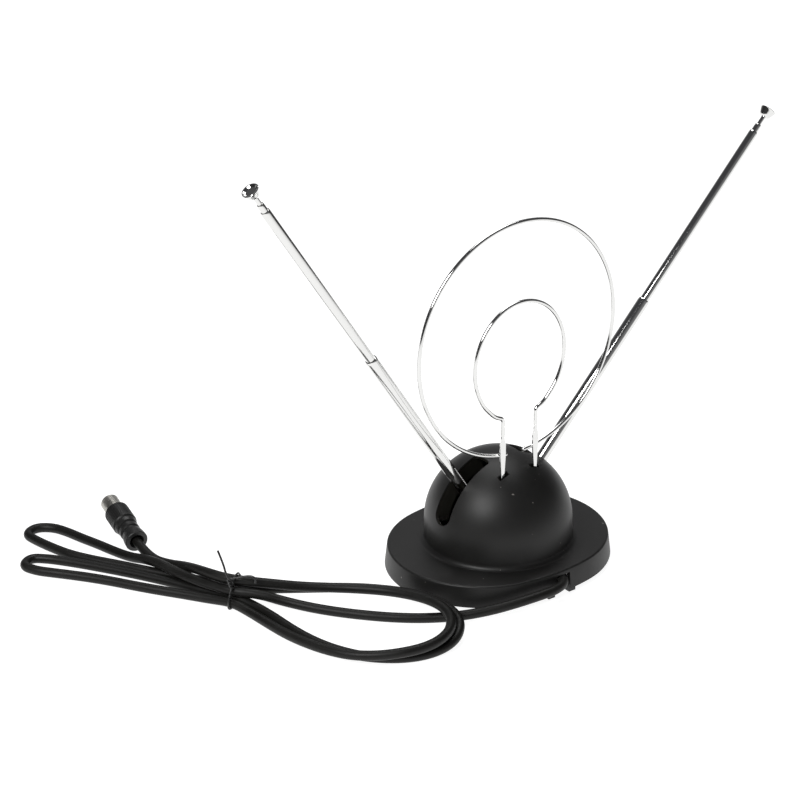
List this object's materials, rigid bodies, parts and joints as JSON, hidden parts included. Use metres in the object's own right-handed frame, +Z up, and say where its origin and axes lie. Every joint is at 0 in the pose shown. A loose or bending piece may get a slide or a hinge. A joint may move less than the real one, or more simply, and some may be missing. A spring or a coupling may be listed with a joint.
{
  "type": "tabletop television antenna",
  "caption": "Tabletop television antenna: domed base, swinging telescopic rods, round wire loop that unplugs, and a folded coaxial lead with a screw-on connector.",
  "frame": {"origin": "middle of the base, on the surface that it stands on", "axes": "+Z up, X along the line of the two rods with the shallower rod at +X, -Y towards the side where the lead leaves the base"},
  "size_m": [0.4274, 0.2646, 0.2639],
  "materials": {
    "moulded_black": "satin moulded",
    "floor_black": "moulded",
    "frame_grey": "moulded",
    "rubber_black": "moulded",
    "steel": "zinc plated",
    "ballast_steel": "blanked",
    "chrome": "polished",
    "brass": "plain",
    "nylon": "moulded",
    "board_green": "lacquered",
    "ferrite": "sintered",
    "enamelled": "enamelled",
    "wire_white": "extruded",
    "wire_red": "extruded",
    "braid": "braided",
    "cable_black": "extruded",
    "tie_black": "extruded",
    "plug_black": "moulded",
    "plug_nickel": "nickel plated"
  },
  "bodies": {
    "base": {"ballast_disc": "ballast_steel", "balun_core": "ferrite", "balun_winding": "enamelled", "base_plate": "floor_black", "base_screws": "steel", "board_screws": "steel", "board_standoffs": "brass", "circuit_board": "board_green", "coax_lead": "cable_black", "connector_body": "plug_black", "connector_pin": "brass", "connector_post": "brass", "dome_cover": "moulded_black", "feet": "rubber_black", "frame_screws": "steel", "lead_braid": "braid", "lead_clamp": "nylon", "lead_clamp_screws": "steel", "lead_core": "wire_white", "left_friction_washer": "steel", "left_loop_wire": "wire_white", "left_pivot_nut": "steel", "left_pivot_screw": "steel", "left_rod_wire": "wire_red", "left_solder_tag": "brass", "loop_clips": "brass", "pivot_frame": "frame_grey", "right_friction_washer": "steel", "right_loop_wire": "wire_white", "right_pivot_nut": "steel", "right_pivot_screw": "steel", "right_rod_wire": "wire_red", "right_solder_tag": "brass", "twist_tie": "tie_black"},
    "left_arm": {"left_lug": "chrome", "left_tube_1": "chrome"},
    "left_section_2": {"left_tube_2": "chrome", "left_bush_2": "brass"},
    "left_section_3": {"left_tube_3": "chrome", "left_bush_3": "brass"},
    "left_tip": {"left_tip_rod": "chrome", "left_bush_4": "brass", "left_knob": "chrome"},
    "right_arm": {"right_lug": "chrome", "right_tube_1": "chrome"},
    "right_section_2": {"right_tube_2": "chrome", "right_bush_2": "brass"},
    "right_section_3": {"right_tube_3": "chrome", "right_bush_3": "brass"},
    "right_tip": {"right_tip_rod": "chrome", "right_bush_4": "brass", "right_knob": "chrome"},
    "loop": {"inner_loop": "chrome", "outer_ring": "chrome"},
    "connector_nut": {"connector_nut": "plug_nickel", "connector_grip": "plug_black"}
  },
  "joints": [
    {"name": "left_rod_swing", "type": "hinge", "parent": "base", "child": "left_arm", "pos_m": [-0.018, 0, 0.0421], "axis": [0, 1, 0], "range_deg": [-57, 32.5]},
    {"name": "left_section_2_slide", "type": "slide", "parent": "left_arm", "child": "left_section_2", "axis": [-0.5446, 0, 0.8387], "range_m": [-0.106, 0]},
    {"name": "left_section_3_slide", "type": "slide", "parent": "left_section_2", "child": "left_section_3", "axis": [-0.5446, 0, 0.8387], "range_m": [0, 0.107]},
    {"name": "left_tip_slide", "type": "slide", "parent": "left_section_3", "child": "left_tip", "axis": [-0.5446, 0, 0.8387], "range_m": [0, 0.107]},
    {"name": "right_rod_swing", "type": "hinge", "parent": "base", "child": "right_arm", "pos_m": [0.018, 0, 0.0421], "axis": [0, -1, 0], "range_deg": [-46, 43]},
    {"name": "right_section_2_slide", "type": "slide", "parent": "right_arm", "child": "right_section_2", "axis": [0.6909, 0, 0.723], "range_m": [-0.106, 0]},
    {"name": "right_section_3_slide", "type": "slide", "parent": "right_section_2", "child": "right_section_3", "axis": [0.6909, 0, 0.723], "range_m": [0, 0.107]},
    {"name": "right_tip_slide", "type": "slide", "parent": "right_section_3", "child": "right_tip", "axis": [0.6909, 0, 0.723], "range_m": [0, 0.107]},
    {"name": "loop_pull", "type": "slide", "parent": "base", "child": "loop", "axis": [0, 0, 1], "range_m": [0, 0.014]},
    {"name": "connector_nut_spin", "type": "hinge", "parent": "base", "child": "connector_nut", "pos_m": [-0.15596, 0.15939, 0.0106], "axis": [0.1615, 0.9757, 0.1478], "continuous": true}
  ]
}
